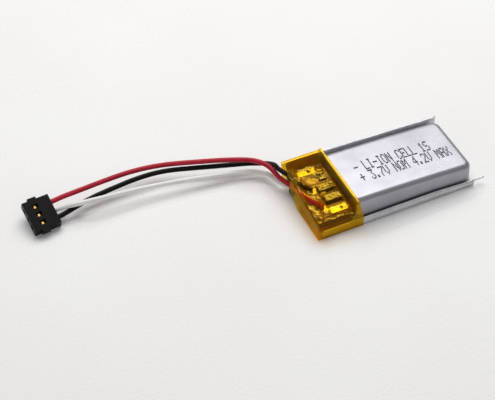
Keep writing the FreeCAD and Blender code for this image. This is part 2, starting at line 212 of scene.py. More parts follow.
@dataclass(frozen=True)
class FilmFinish:
    """Clear amber adhesive film: tinted and see-through, with a glossy face and a little haze.

    Attributes:
        name: what the finish is.
        tint: hex colour of light that has crossed one face.
        haze: hex colour of the film's own body.
        haze_share: how much of the body shows.
        roughness: roughness of the glossy face.
        gloss: how much of the clear face's reflection is kept.
    """

    name: str
    tint: str
    haze: str
    haze_share: float = 0.16
    roughness: float = 0.07
    gloss: float = 0.26

    def build(self) -> bpy.types.Material:
        """Make the material.

        Returns:
            The node material.
        """
        material, tree, output = new_material(self.name)
        ripple = millimetre_noise(tree, 0.5, detail=3.0)
        bump = add_node(tree, "ShaderNodeBump", {"Height": ripple, "Strength": 0.35, "Distance": 0.06 * MM})
        normal = bump.outputs["Normal"]
        clear = add_node(tree, "ShaderNodeBsdfTransparent", {"Color": linear(self.tint)})
        body = add_node(tree, "ShaderNodeBsdfDiffuse", {"Color": linear(self.haze), "Normal": normal})
        gloss = add_node(tree, "ShaderNodeBsdfGlossy", {
            "Color": linear("fff0b4"), "Roughness": self.roughness, "Normal": normal})
        veil = add_node(tree, "ShaderNodeMixShader", {"Fac": self.haze_share, 1: clear.outputs[0],
                                                      2: body.outputs[0]})
        edge = add_node(tree, "ShaderNodeFresnel", {"IOR": 1.45, "Normal": normal})
        share = add_node(tree, "ShaderNodeMath", {0: edge.outputs["Fac"], 1: self.gloss},
                         operation="MULTIPLY")
        face = add_node(tree, "ShaderNodeMixShader", {"Fac": share.outputs[0], 1: veil.outputs[0],
                                                      2: gloss.outputs[0]})
        tree.links.new(face.outputs[0], output.inputs["Surface"])
        return material


class Look(Enum):
    """Every finish of the pack and of its table."""

    # drawn foil: a soft grey sheen that clouds slowly from end to end
    LAMINATE = Finish("satin_aluminium_laminate", ("9b9aa0", "a8a7ad"), (0.36, 0.44), 0.10, 0.05, 0.95, 5.0)
    # pressed foil edge: the cup's laminate painted brighter than the cup as a painted highlight, so the
    # folded plies draw pale lines
    SEAL = Finish("pressed_laminate_edge", ("c9c9cd", "dcdcdf"), (0.34, 0.44), 0.12, 0.12, 0.8, 1.5)
    # print dots: matt and slightly violet on the grey foil
    INK = Finish("violet_black_ink", ("2f2b3a", "3d3849"), (0.55, 0.7), 0.05, 0.1)
    # clear film: pale on one face, deep amber where several faces lie over each other
    AMBER = FilmFinish("amber_polyimide_film", "fbea88", "d89a00", 0.045)
    # strong red plastic with a narrow highlight along the lead
    RED = Finish("red_lead_insulation", ("a81629", "bb2036"), (0.30, 0.38), 0.1, 0.08, mottle_mm=3.0,
                 specular=0.2)
    # deep black plastic that shows its roundness only by a thin sheen
    BLACK = Finish("black_lead_insulation", ("060607", "0c0c0d"), (0.30, 0.38), 0.1, 0.08, mottle_mm=3.0,
                   specular=0.12)
    # warm white plastic, soft against the pale table
    WHITE = Finish("white_lead_insulation", ("e4e2de", "efeeea"), (0.34, 0.44), 0.1, 0.08, mottle_mm=3.0)
    # near-black moulding with a fine grain, so its edges barely catch the light
    HOUSING = Finish("black_moulded_nylon", ("050506", "0b0b0c"), (0.30, 0.42), 0.06, 0.2, specular=0.1)
    # warm metal glint inside the plug's dark windows
    GOLD = Finish("gold_plated_contact", ("c8943c", "e0b565"), (0.22, 0.32), 0.05, 0.1, 1.0)
    # orange-brown ground that glows through the film
    BOARD = Finish("brown_solder_mask", ("6a3c12", "86501a"), (0.45, 0.6), 0.08, 0.1)
    # dull dark blocks that stand out from the board
    CHIP = Finish("black_epoxy_package", ("120c08", "1d1510"), (0.45, 0.6), 0.04, 0.25, specular=0.1)
    # small tan block, between the board and the chips in tone
    CERAMIC = Finish("tan_ceramic", ("8d6b45", "a3805a"), (0.4, 0.5), 0.04, 0.1)
    # bright metal that turns to gold glints under the film
    TIN = Finish("bright_tin_solder", ("cfcfd2", "e6e6e8"), (0.16, 0.28), 0.08, 0.1, 1.0)
    # pale strip metal with a brushed grain along it
    NICKEL = Finish("brushed_nickel_strip", ("b9b7b0", "cccac4"), (0.25, 0.35), 0.05, 0.15, 1.0,
                    stretch=(8, 1, 1))
    # paler and whiter strip metal than the nickel
    ALUMINIUM = Finish("soft_aluminium_strip", ("cfd0d3", "dddee0"), (0.25, 0.35), 0.05, 0.15, 1.0)
    # dull brown paper that keeps the gap under the board dark
    FOAM = Finish("brown_insulating_paper", ("6f4d26", "866234"), (0.8, 0.9), 0.15, 0.4)
    # tan backing that warms the light inside the bay; its dark tone is also painted shade in the near gap and
    # at the cup's end
    LINING = Finish("tan_lining_tape", ("a8763a", "c08d4c"), (0.5, 0.65), 0.3, 0.3)
    # cream band that sets each tab off from the foil
    SEALANT = Finish("cream_tab_sealant", ("d9cfb0", "e6dec6"), (0.4, 0.5), 0.08, 0.1)
    # soft black coating with no shine
    CATHODE = Finish("black_coated_aluminium_foil", ("1b1b1c", "262627"), (0.6, 0.75), 0.05, 0.3)
    # slightly darker graphite coating
    ANODE = Finish("graphite_coated_copper_foil", ("111112", "1a1a1c"), (0.6, 0.75), 0.05, 0.3)
    # plain white film between the dark foils
    SEPARATOR = Finish("white_porous_film", ("e6e6e6", "f2f2f2"), (0.5, 0.6), 0.05, 0.1)
    # smooth blue band round the winding
    BLUE_TAPE = Finish("blue_winding_tape", ("2c5f9e", "3a70b3"), (0.3, 0.4), 0.08, 0.1)
    # near-white grain that stays even under the soft light
    TABLE = Finish("fine_grained_white_table", ("f0eeec", "f4f3f1"), (0.6, 0.75), 0.45, 0.22, mottle_mm=40.0)

    @property
    def material(self) -> bpy.types.Material:
        """The look's material, made when it is first asked for."""
        return bpy.data.materials.get(self.value.name) or self.value.build()


NODE_LOOKS = {
    "cathode_foil": Look.CATHODE, "anode_foil": Look.ANODE, "separator_inner": Look.SEPARATOR,
    "separator_outer": Look.SEPARATOR, "winding_tape": Look.BLUE_TAPE, "positive_tab": Look.ALUMINIUM,
    "negative_tab": Look.NICKEL, "positive_tab_sealant": Look.SEALANT, "negative_tab_sealant": Look.SEALANT,
    "insulating_pad": Look.FOAM, "circuit_board": Look.BOARD, "protection_ic": Look.CHIP,
    "power_switch_ic": Look.CHIP, "sense_resistor": Look.CHIP, "series_resistor": Look.CHIP,
    "filter_capacitor": Look.CERAMIC, "thermistor": Look.CHIP, "cell_plate_positive": Look.TIN,
    "cell_plate_negative": Look.TIN, "red_solder_joint": Look.TIN, "black_solder_joint": Look.TIN,
    "red_wire_tail": Look.RED, "black_wire_tail": Look.BLACK, "white_wire_tail": Look.WHITE,
    "plug_contact_near": Look.GOLD, "plug_contact_middle": Look.GOLD, "plug_contact_far": Look.GOLD,
    "plug_housing": Look.HOUSING,
}


# ---- mesh tools -----------------------------------------------------------------------------
def smoothstep(low: float, high: float, value: float) -> float:
    """Ease from 0 at low to 1 at high."""
    t = min(max((value - low) / (high - low), 0.0), 1.0)
    return t * t * (3 - 2 * t)


def between(stops: Sequence[tuple[float, float]], value: float) -> float:
    """Interpolate smoothly between stops.

    Args:
        stops: (place, height) pairs in order of place.
        value: the place that is asked for.

    Returns:
        The height there, and the last stop's height beyond it.
    """
    for (a, low), (b, high) in zip(stops, stops[1:]):
        if value <= b:
            return low + (high - low) * smoothstep(a, b, value)
    return stops[-1][1]


def make_piece(name: str, points: Iterable[Point], faces: Sequence[Sequence[int]], look: Look,
               replaces: Sequence[str] = (), smooth: bool = True) -> bpy.types.Object:
    """Make a mesh piece that rides on the pack.

    Args:
        name: the piece's name.
        points: corners in millimetres.
        faces: corner numbers of each face.
        look: its finish.
        replaces: CAD nodes that it stands for.
        smooth: whether its faces are shaded smooth.

    Returns:
        The new object.
    """
    mesh = bpy.data.meshes.new(name)
    mesh.from_pydata([Vector(p) * MM for p in points], [], faces)
    mesh.validate()
    mesh.shade_smooth() if smooth else mesh.shade_flat()
    mesh.materials.append(look.material)
    piece = bpy.data.objects.new(name, mesh)
    bpy.context.scene.collection.objects.link(piece)
    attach(piece, "root")
    if replaces:
        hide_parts(*replaces)
    LOG.info("%s: %d faces", name, len(mesh.polygons))
    return piece


def loft(rings: Sequence[Sequence[Point]], closed: bool = True) -> tuple[list[Point], list[tuple[int, ...]]]:
    """Join rings of equal length into a capped skin.

    Args:
        rings: the rings, each anticlockwise seen from beyond the last one.
        closed: whether each ring closes on itself.

    Returns:
        The points and the faces.
    """
    count = len(rings[0])
    points = [p for ring in rings for p in ring]
    faces: list[tuple[int, ...]] = []
    last = count if closed else count - 1
    for r in range(len(rings) - 1):
        for i in range(last):
            j = (i + 1) % count
            faces.append((r * count + i, r * count + j, (r + 1) * count + j, (r + 1) * count + i))
    if closed:
        faces.append(tuple(reversed(range(count))))
        top = (len(rings) - 1) * count
        faces.append(tuple(range(top, top + count)))
    return points, faces


def apply_modifiers(piece: bpy.types.Object) -> None:
    """Replace a piece's mesh with what its modifiers make, and remove them."""
    graph = bpy.context.evaluated_depsgraph_get()
    mesh = bpy.data.meshes.new_from_object(piece.evaluated_get(graph))
    piece.modifiers.clear()
    piece.data = mesh


# ---- camera, light and table ----------------------------------------------------------------
@dataclass(frozen=True)
class SoftLight:
    """A square area light.

    Attributes:
        name: its name.
        place: where it stands, in millimetres.
        side: length of its side in millimetres.
        power: in watts.
        aim: the point that it faces.
    """

    name: str
    place: Point
    side: float
    power: float
    aim: Point = (0, 0, 0)

    def build(self) -> None:
        """Make the light and turn it to its aim."""
        light = bpy.data.lights.new(self.name, "AREA")
        light.size = self.side * MM
        light.energy = self.power
        lamp = bpy.data.objects.new(self.name, light)
        bpy.context.scene.collection.objects.link(lamp)
        lamp.location = Vector(self.place) * MM
        lamp.rotation_euler = (Vector(self.place) - Vector(self.aim)).to_track_quat("Z", "Y").to_euler()
        LOG.info("%s: %.2f W", self.name, self.power)


@dataclass(frozen=True)
class Studio:
    """Camera, soft light and pale table.

    Attributes:
        azimuth: the camera's turn about Z in degrees, 0 looking along +Y.
        elevation: its height above the table in degrees.
        roll: its turn about its own line of sight in degrees.
        distance: from the camera to its target, in millimetres.
        target: the point at the middle of the picture.
        lens: focal length on a 36 mm sensor.
        lights: a broad one from behind, a small one for glints, and a weak one from the front.
        room_tone, room_strength: colour and strength of the even surround.
        table_reach, table_level: half the table's side, and its height.
    """

    azimuth: float = -25.0
    elevation: float = 46.4
    roll: float = -0.3
    distance: float = 220.0
    target: Point = (-19.45, 5.81, -0.40)
    lens: float = 108.3
    lights: tuple[SoftLight, ...] = (
        SoftLight("back_softbox", (75, 165, 300), 290, 0.92, (-2, 0, 0)),
        SoftLight("ceiling_lamp", (-120, 260, 330), 9, 0.16),
        SoftLight("front_fill", (-80, -200, 320), 300, 0.10),
    )
    room_tone: str = "f2f3f6"
    room_strength: float = 0.38
    table_reach: float = 900.0
    table_level: float = -0.02

    def build(self) -> None:
        """Make the camera, the lights, the world and the table."""
        self.make_camera()
        for light in self.lights:
            light.build()
        self.make_world()
        self.make_table()
        bpy.context.scene.view_settings.view_transform = "Standard"

    def make_camera(self) -> None:
        """Make the camera, which looks down on the pack's near side."""
        a, e, r = (math.radians(v) for v in (self.azimuth, self.elevation, self.roll))
        back = Vector((math.sin(a) * math.cos(e), -math.cos(a) * math.cos(e), math.sin(e)))
        level = Vector((math.cos(a), math.sin(a), 0))
        tilt = back.cross(level)
        right = math.cos(r) * level + math.sin(r) * tilt
        camera = bpy.data.objects.new("camera", bpy.data.cameras.new("camera"))
        bpy.context.scene.collection.objects.link(camera)
        turn = Matrix((right, back.cross(right), back)).transposed().to_4x4()
        camera.matrix_world = Matrix.Translation((Vector(self.target) + back * self.distance) * MM) @ turn
        camera.data.lens = self.lens
        camera.data.clip_start = 0.01
        bpy.context.scene.camera = camera

    def make_world(self) -> None:
        """Make an even pale surround."""
        world = bpy.data.worlds.new("pale_room")
        bpy.context.scene.world = world
        world.use_nodes = True
        background = world.node_tree.nodes["Background"]
        background.inputs["Color"].default_value = linear(self.room_tone)
        background.inputs["Strength"].default_value = self.room_strength

    def make_table(self) -> None:
        """Make the table top."""
        reach = self.table_reach
        corners = ((-reach, -reach), (reach, -reach), (reach, reach), (-reach, reach))
        mesh = bpy.data.meshes.new("table_top")
        mesh.from_pydata([Vector((x, y, self.table_level)) * MM for x, y in corners], [], [(0, 1, 2, 3)])
        mesh.materials.append(Look.TABLE.material)
        table = bpy.data.objects.new("table_top", mesh)
        bpy.context.scene.collection.objects.link(table)
        LOG.info("table_top made")


# ---- leads ----------------------------------------------------------------------------------
@dataclass(frozen=True)
class Lead:
    """A free lead between the wrap and the plug.

    Attributes:
        colour: its colour's name.
        look: its finish.
        length: its real length in millimetres.
        pieces: what hangs on its end: its contact, and the housing on the middle lead; not used.
        route: its control points, from the plug to the wrap.
        diameter: over its insulation.
    """

    colour: str
    look: Look
    length: float
    pieces: tuple[str, ...]
    route: tuple[Point, ...]
    diameter: float = 0.75

    def build(self) -> None:
        curve = bpy.data.curves.new(self.colour + "_lead", "CURVE")
        curve.dimensions = "3D"
        curve.bevel_depth = self.diameter / 2 * MM
        curve.bevel_resolution = 6
        curve.use_fill_caps = True
        spline = curve.splines.new("NURBS")
        spline.points.add(len(self.route) - 1)
        for point, place in zip(spline.points, reversed(self.route)):
            point.co = (*(Vector(place) * MM), 1.0)
        spline.order_u = 3
        spline.use_endpoint_u = True
        spline.resolution_u = 10
        curve.materials.append(self.look.material)
        lead = bpy.data.objects.new(self.colour + "_lead", curve)
        bpy.context.scene.collection.objects.link(lead)
        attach(lead, "root")
        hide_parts(self.colour + "_wire")
        LOG.info("%s_lead: %.1f mm", self.colour, self.length)


LEADS = (
    Lead("red", Look.RED, 38.8, ("plug_contact_far",), (
        (-47.27, 15.52, 2.07), (-46.27, 15.60, 2.07), (-44.40, 15.86, 2.10), (-41.70, 15.90, 2.20),
        (-37.90, 16.08, 2.30), (-33.40, 16.26, 2.22), (-29.00, 15.62, 2.20), (-24.20, 13.78, 2.40),
        (-20.20, 12.12, 2.60), (-17.30, 10.60, 2.80), (-15.95, 9.55, 2.84), (-14.95, 8.20, 2.72),
        (-14.55, 6.80, 2.42), (-14.30, 5.45, 2.15), (-13.50, 3.85, 1.99))),
    Lead("black", Look.BLACK, 39.0, ("plug_contact_near",), (
        (-47.08, 13.06, 1.14), (-46.09, 13.14, 1.14), (-43.90, 13.72, 1.22), (-40.85, 14.44, 1.40),
        (-37.30, 14.70, 1.62), (-32.90, 15.02, 1.74), (-28.80, 14.84, 1.62), (-23.90, 13.40, 1.42),
        (-19.55, 12.00, 1.36), (-16.70, 11.02, 1.40), (-15.08, 10.06, 1.56), (-14.24, 8.98, 2.08),
        (-14.06, 7.72, 2.95), (-14.26, 6.15, 3.45), (-13.48, 4.40, 3.54))),
    Lead("white", Look.WHITE, 37.0, ("plug_contact_middle", "plug_housing"), (
        (-47.17, 14.30, 1.61), (-46.18, 14.37, 1.62), (-44.10, 13.82, 2.00), (-41.30, 13.04, 2.38),
        (-37.50, 12.86, 2.14), (-33.50, 12.70, 1.84), (-27.70, 11.95, 1.56), (-22.00, 10.84, 1.28),
        (-18.20, 10.04, 1.08), (-15.90, 9.20, 1.00), (-14.75, 7.90, 0.96), (-14.34, 6.00, 1.00),
        (-13.48, 4.35, 1.18))),
)


# ---- pouch ----------------------------------------------------------------------------------
@dataclass(frozen=True)
class Pouch:
    """The drawn aluminium-laminate pouch and its folded side seals.

    Attributes:
        left, length: where the cup starts along X, and how long it is.
        near, far: the cup's walls.
        foot, height, fall: the cup's base, its height, and how much its top falls to the folded end.
        corner, shoulder: radii in plan and over the top edge.
        terrace_left: left end of the flat terrace under the board.
        taped_shoulder: how wide the shoulder is at the taped end, beside the others.
        ear_tip: where the near seal's ear ends along X.
        steps: number of sections along a seal.
    """

    left: float = -7.9
    length: float = 19.9
    near: float = -5.75
    far: float = 5.25
    foot: float = 0.22
    height: float = 4.58
    fall: float = 0.9
    corner: float = 1.35
    shoulder: float = 0.85
    terrace_left: float = -13.1
    taped_shoulder: float = 0.35
    ear_tip: float = 13.74
    steps: int = 70

    @property
    def right(self) -> float:
        """The folded end's place along X."""
        return self.left + self.length

    @property
    def middle(self) -> float:
        """The cup's middle across the pack."""
        return (self.near + self.far) / 2

    def crown(self, x: float, y: float) -> float:
        """Height of the cup's top, with the slight swell and ripple of drawn foil.

        Args:
            x, y: the place in plan.

        Returns:
            The height.
        """
        t = min(max((x - self.left) / self.length, 0.0), 1.0)
        across = (y - self.middle) / (self.far - self.near) * 2
        swell = 0.05 * (1 - across * across) * math.sin(math.pi * min(max(t, 0.02), 0.98)) ** 0.5
        ripple = 0.022 * noise.noise(Vector((x / 4.5, y / 3.0, 3.1)))
        return self.foot + self.height - self.fall * t ** 1.3 + swell + ripple - 0.03

    def outline(self, inset: float, per_corner: int = 8) -> list[tuple[float, float]]:
        """Rounded rectangle of the cup's plan.

        Args:
            inset: how far it is moved in from the walls.
            per_corner: number of steps round a corner.

        Returns:
            Its points, anticlockwise.
        """
        radius = max(self.corner - inset, 0.12)
        half_x = self.length / 2 - inset - radius
        half_y = (self.far - self.near) / 2 - inset - radius
        middle_x = self.left + self.length / 2
        corners = ((1, -1, -90), (1, 1, 0), (-1, 1, 90), (-1, -1, 180))
        points: list[tuple[float, float]] = []
        for (sx, sy, start), (tx, ty, _) in zip(corners, corners[1:] + corners[:1]):
            for k in range(per_corner + 1):
                a = math.radians(start + 90 * k / per_corner)
                points.append((middle_x + sx * half_x + radius * math.cos(a),
                               self.middle + sy * half_y + radius * math.sin(a)))
            steps = 10 if sy == ty else 18
            a = math.radians(start + 90)
            for k in range(1, steps):
                f = k / steps
                points.append((middle_x + (sx + (tx - sx) * f) * half_x + radius * math.cos(a),
                               self.middle + (sy + (ty - sy) * f) * half_y + radius * math.sin(a)))
        return points

    def cup_rings(self) -> list[list[Point]]:
        """Rings up the cup's wall, over its shoulder and in across its top.

        Returns:
            The rings, from the foot to the middle of the top. The taped end has the narrower shoulder.
        """
        levels = [(-0.16, 0.0), (-0.15, 0.03), (-0.06, 0.07), (0.0, 0.16), (0.03, 0.35), (0.08, 0.60)]
        rings = [[(x, y, self.foot + (self.crown(x, y) - self.foot) * level) for x, y in self.outline(inset)]
                 for inset, level in levels]
        for k in range(9):
            a = math.radians(90 * k / 8)
            inset = 0.11 + self.shoulder * (1 - math.cos(a))
            drop = self.shoulder * (1 - math.sin(a))
            rings.append([(x, y, self.crown(x, y) - drop) for x, y in self.outline(inset)])
        for inset in (1.25, 1.7, 2.2, 2.8, 3.4, 4.0, 4.6, 5.1):
            rings.append([(x, y, self.crown(x, y)) for x, y in self.outline(inset)])
        spread = 1 - self.taped_shoulder
        for ring in rings[len(levels):]:
            reach = min(ring[0][1] - self.near - 0.11, self.shoulder) if ring[0][1] < self.middle else 0.0
            ring[:] = [(x - spread * reach * smoothstep(self.left + 6, self.left + 1, x), y, z)
                       for x, y, z in ring]
        return rings

    def near_seal_top(self, x: float) -> float:
        """Height of the near seal's top edge."""
        return 1.43 - 0.33 * smoothstep(4.0, self.right, x) + 0.02 * noise.noise(Vector((x / 2.2, 0, 7)))

    def near_seal_section(self, x: float) -> list[Point]:
        """The near seal's section: a broad outer ply, a groove, and the inner ply's lip.

        Args:
            x: the place along the pack.

        Returns:
            Its closed outline.
        """
        top = self.near_seal_top(x)
        sway = 0.03 * noise.noise(Vector((x / 3.5, 1.0, 2)))
        outer = [(-6.14, 0.10), (-6.20, 0.16), (-6.21, 0.55), (-6.19, top - 0.36), (-6.17, top - 0.30),
                 (-6.09, top - 0.27), (-6.09, top - 0.20), (-6.17, top - 0.17), (-6.18, top - 0.03),
                 (-6.15, top), (-6.00, top), (-5.97, top - 0.04), (-5.97, 0.42), (-5.92, 0.36), (-5.60, 0.34),
                 (-5.60, 0.10)]
        return [(x, y + (sway if z > 0.3 and y < -5.9 else 0.0), z) for y, z in outer]

    def ear(self) -> tuple[list[Point], list[tuple[int, ...]]]:
        """The thin tongue of the near seal that stands past the folded end.

        Returns:
            Its points and faces.
        """
        rings = []
        for k in range(9):
            x = self.right - 0.05 + (self.ear_tip - self.right + 0.05) * k / 8
            top = self.near_seal_top(x) - 0.02 * k / 8
            tall = 0.30 - 0.10 * k / 8
            y = -6.08 + 0.05 * math.sin(k * 0.7)
            rings.append([(x, y - 0.07, top - tall), (x, y - 0.09, top - 0.05), (x, y - 0.04, top),
                          (x, y + 0.05, top), (x, y + 0.09, top - 0.05), (x, y + 0.07, top - tall)])
        return loft(rings)

    def far_seal_section(self, x: float) -> list[Point]:
        """The tall far seal's leaning section.

        Args:
            x: the place along the pack.

        Returns:
            Its closed outline.
        """
        t = (x - self.terrace_left) / (self.right - self.terrace_left)
        top = 4.6 - 1.04 * t + 0.03 * noise.noise(Vector((x / 2.5, 5, 1)))
        lean = 0.5 * (top - 0.1) / 4.5 + 0.04 * noise.noise(Vector((x / 4.0, 9, 4)))
        bow = 0.10 * smoothstep(6.0, self.right, x)
        near = 5.45
        return [(x, 5.0, 0.10), (x, near + 0.20, 0.10), (x, near + 0.24, 0.2),
                (x, near + 0.24 + lean * 0.5 - bow, top / 2), (x, near + 0.24 + lean, top - 0.04),
                (x, near + 0.20 + lean, top), (x, near + 0.06 + lean, top),
                (x, near + 0.02 + lean, top - 0.05), (x, near + lean * 0.5 - bow, top / 2),
                (x, near, 0.42), (x, near - 0.06, 0.34), (x, 5.0, 0.34)]

    def stations(self, span: float) -> list[float]:
        """Evenly spaced places along X, over a span from the terrace's left end."""
        return [self.terrace_left + span * k / self.steps for k in range(self.steps + 1)]

    def flat_sheet(self, name: str, start: float, end: float, top: float, look: Look) -> None:
        """Make a flat sheet of foil on the wrap's film.

        Args:
            name: the piece's name.
            start, end: its ends along X.
            top: height of its upper face.
            look: its finish.
        """
        section = ((-5.62, 0.10), (-5.62, top), (5.1, top), (5.1, 0.10))
        points, faces = loft([[(x, y, z) for y, z in reversed(section)] for x in (start, end)])
        make_piece(name, points, faces, look, smooth=False)

    def build(self) -> bpy.types.Object:
        """Make the cup, the side seals, the terrace and the lower film.

        Returns:
            The cup, which the print lies on.
        """
        points, faces = loft(self.cup_rings())
        cup = make_piece("pouch_drawn_cup", points, faces, Look.LAMINATE,
                         ("pouch_cup",))
        span = self.right - self.terrace_left
        points, faces = loft([list(reversed(self.near_seal_section(x))) for x in self.stations(span)])
        # the seals carry a painted highlight: their foil is painted paler than the cup's
        make_piece("near_side_seal", points, faces, Look.SEAL, ("pouch_cover",))
        points, faces = self.ear()
        make_piece("near_seal_ear", points, faces, Look.SEAL)
        rings = [self.far_seal_section(x) for x in self.stations(span - 0.15)]
        tip = []
        for x, y, z in rings[-1]:
            past, out, up = (0.12, 0.08, 0.06) if z > 3.2 else (0, 0, 0)
            tip.append((x + 0.16 * z / 3.6 + past, y + out, z + up))
        points, faces = loft(rings + [tip])
        make_piece("far_side_seal", points, faces, Look.SEAL)
        self.flat_sheet("terrace", self.terrace_left, self.left + 0.3, 0.34, Look.SEAL)
        self.flat_sheet("lower_film", self.left + 0.3, self.right - 0.1, 0.22, Look.LAMINATE)
        return cup


# ---- print ----------------------------------------------------------------------------------
GLYPHS = {
    "-": "..... ..... ..... ##### ..... ..... .....", "+": "..... ..#.. ..#.. ##### ..#.. ..#.. .....",
    ".": "..... ..... ..... ..... ..... .##.. .##..", "1": "..#.. .##.. ..#.. ..#.. ..#.. ..#.. .###.",
    "2": ".###. #...# ....# ...#. ..#.. .#... #####", "3": "##### ...#. ..#.. ...#. ....# #...# .###.",
    "4": "...#. ..##. .#.#. #..#. ##### ...#. ...#.", "7": "##### ....# ...#. ..#.. .#... .#... .#...",
    "A": ".###. #...# #...# ##### #...# #...# #...#", "C": ".###. #...# #.... #.... #.... #...# .###.",
    "E": "##### #.... #.... ####. #.... #.... #####", "I": ".###. ..#.. ..#.. ..#.. ..#.. ..#.. .###.",
    "L": "#.... #.... #.... #.... #.... #.... #####", "M": "#...# ##.## #.#.# #.#.# #...# #...# #...#",
    "N": "#...# ##..# #.#.# #.#.# #..## #...# #...#", "O": ".###. #...# #...# #...# #...# #...# .###.",
    "S": ".#### #.... #.... .###. ....# ....# ####.", "V": "#...# #...# #...# #...# #...# .#.#. ..#..",
    "X": "#...# #...# .#.#. ..#.. .#.#. #...# #...#", " ": "..... ..... ..... ..... ..... ..... .....",
}


@dataclass(frozen=True)
class Print:
    """Two generic rating lines in ink-jet dots.

    Attributes:
        lines: text and the place of its first character's lower left corner.
        pitch: from one character to the next.
        column, row: from dot to dot along and across.
        dot: a dot's diameter.
    """

    lines: tuple[tuple[str, float, float], ...] = (("- LI-ION CELL 1S", -4.72, -0.35),
                                                   ("+ 3.7V NOM 4.2V MAX", -4.72, -2.50))
    pitch: float = 0.79
    column: float = 0.135
    row: float = 0.29
    dot: float = 0.25

    def places(self, cup: bpy.types.Object) -> list[Point]:
        """Find where each dot lies.

        Args:
            cup: the piece that is printed on.

        Returns:
            The dots' places, just above its surface.
        """
        mesh = cup.data
        surface = BVHTree.FromPolygons([v.co for v in mesh.vertices], [p.vertices for p in mesh.polygons])
        spots = []
        for text, left, low in self.lines:
            for n, character in enumerate(text):
                for r, cells in enumerate(GLYPHS[character].split()):
                    for c, cell in enumerate(cells):
                        if cell != "#":
                            continue
                        x = left + n * self.pitch + c * self.column
                        y = low + (6 - r) * self.row
                        along, across = (0.02 * noise.noise(Vector((x * 7, y * 7, z))) for z in (1.5, 9.5))
                        hit = surface.ray_cast(Vector((x, y, 9.0)) * MM, Vector((0, 0, -1)))[0]
                        spots.append((x + along, y + across, hit.z / MM + 0.012))
        return spots

    def build(self, cup: bpy.types.Object) -> None:
        """Make the dots by Geometry Nodes: one dot instanced on each place.

        Args:
            cup: the piece that is printed on.
        """
        places = self.places(cup)
        mesh = bpy.data.meshes.new("rating_print")
        mesh.from_pydata([Vector(p) * MM for p in places], [], [])
        piece = bpy.data.objects.new("rating_print", mesh)
        bpy.context.scene.collection.objects.link(piece)
        tree = bpy.data.node_groups.new("ink_dots", "GeometryNodeTree")
        tree.interface.new_socket("Geometry", in_out="INPUT", socket_type="NodeSocketGeometry")
        tree.interface.new_socket("Geometry", in_out="OUTPUT", socket_type="NodeSocketGeometry")
        size = tree.interface.new_socket("Dot radius", in_out="INPUT", socket_type="NodeSocketFloat")
        entry = add_node(tree, "NodeGroupInput")
        dot = add_node(tree, "GeometryNodeMeshUVSphere", {"Segments": 8, "Rings": 5,
                                                          "Radius": entry.outputs["Dot radius"]})
        flat = add_node(tree, "GeometryNodeInstanceOnPoints", {
            "Points": entry.outputs["Geometry"], "Instance": dot.outputs["Mesh"], "Scale": (0.9, 1.25, 0.12)})
        real = add_node(tree, "GeometryNodeRealizeInstances", {"Geometry": flat.outputs["Instances"]})
        inked = add_node(tree, "GeometryNodeSetMaterial", {"Geometry": real.outputs["Geometry"]})
        inked.inputs["Material"].default_value = Look.INK.material
        add_node(tree, "NodeGroupOutput", {0: inked.outputs["Geometry"]})
        modifier = piece.modifiers.new("ink_dots", "NODES")
        modifier.node_group = tree
        modifier[size.identifier] = self.dot / 2 * MM
        apply_modifiers(piece)
        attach(piece, "root")
        LOG.info("rating_print: %d dots", len(places))


# ---- amber wrap -----------------------------------------------------------------------------
def plan_distance(x: float, y: float, start: tuple[float, float], end: tuple[float, float]) -> float:
    """Distance in plan from a place to a straight stretch.

    Args:
        x, y: the place.
        start, end: the stretch's ends.

    Returns:
        The distance to its nearest point.
    """
    ax, ay = start
    bx, by = end
    t = ((x - ax) * (bx - ax) + (y - ay) * (by - ay)) / ((bx - ax) ** 2 + (by - ay) ** 2)
    t = min(max(t, 0.0), 1.0)
    return math.hypot(x - ax - t * (bx - ax), y - ay - t * (by - ay))


@dataclass(frozen=True)
class Bump:
    """Something that the film is drawn down over: a block, or a rod between two points.

    Attributes:
        low, high: a block's low and high corners in plan, or a rod's two ends.
        top: its height, with the film on it.
        radius: a rod's radius, and 0 for a block.
    """

    low: tuple[float, float]
    high: tuple[float, float]
    top: float
    radius: float = 0.0

    def height(self, x: float, y: float) -> float:
        """Height of the film over this, falling away steeply outside it.

        Args:
            x, y: the place in plan.

        Returns:
            The height.
        """
        if self.radius:
            away = plan_distance(x, y, self.low, self.high)
            round_top = math.sqrt(max(self.radius ** 2 - away ** 2, 0.0)) - self.radius
            return self.top + round_top - 1.3 * max(away - self.radius, 0.0)
        dx = max(self.low[0] - x, 0.0, x - self.high[0])
        dy = max(self.low[1] - y, 0.0, y - self.high[1])
        return self.top - 1.9 * math.hypot(dx, dy)


@dataclass(frozen=True)
class Crease:
    """A sharp fold that stands up along a line in the film.

    Attributes:
        line: its points in plan.
        rise: its height.
        width: its half width.
    """

    line: tuple[tuple[float, float], ...]
    rise: float = 0.12
    width: float = 0.13

    def height(self, x: float, y: float) -> float:
        """How much the film is lifted.

        Args:
            x, y: the place in plan.

        Returns:
            The lift, 0 away from the fold.
        """
        lift = 0.0
        for start, end in zip(self.line, self.line[1:]):
            away = plan_distance(x, y, start, end)
            lift = max(lift, self.rise * max(1 - away / self.width, 0.0) ** 1.3)
        return lift


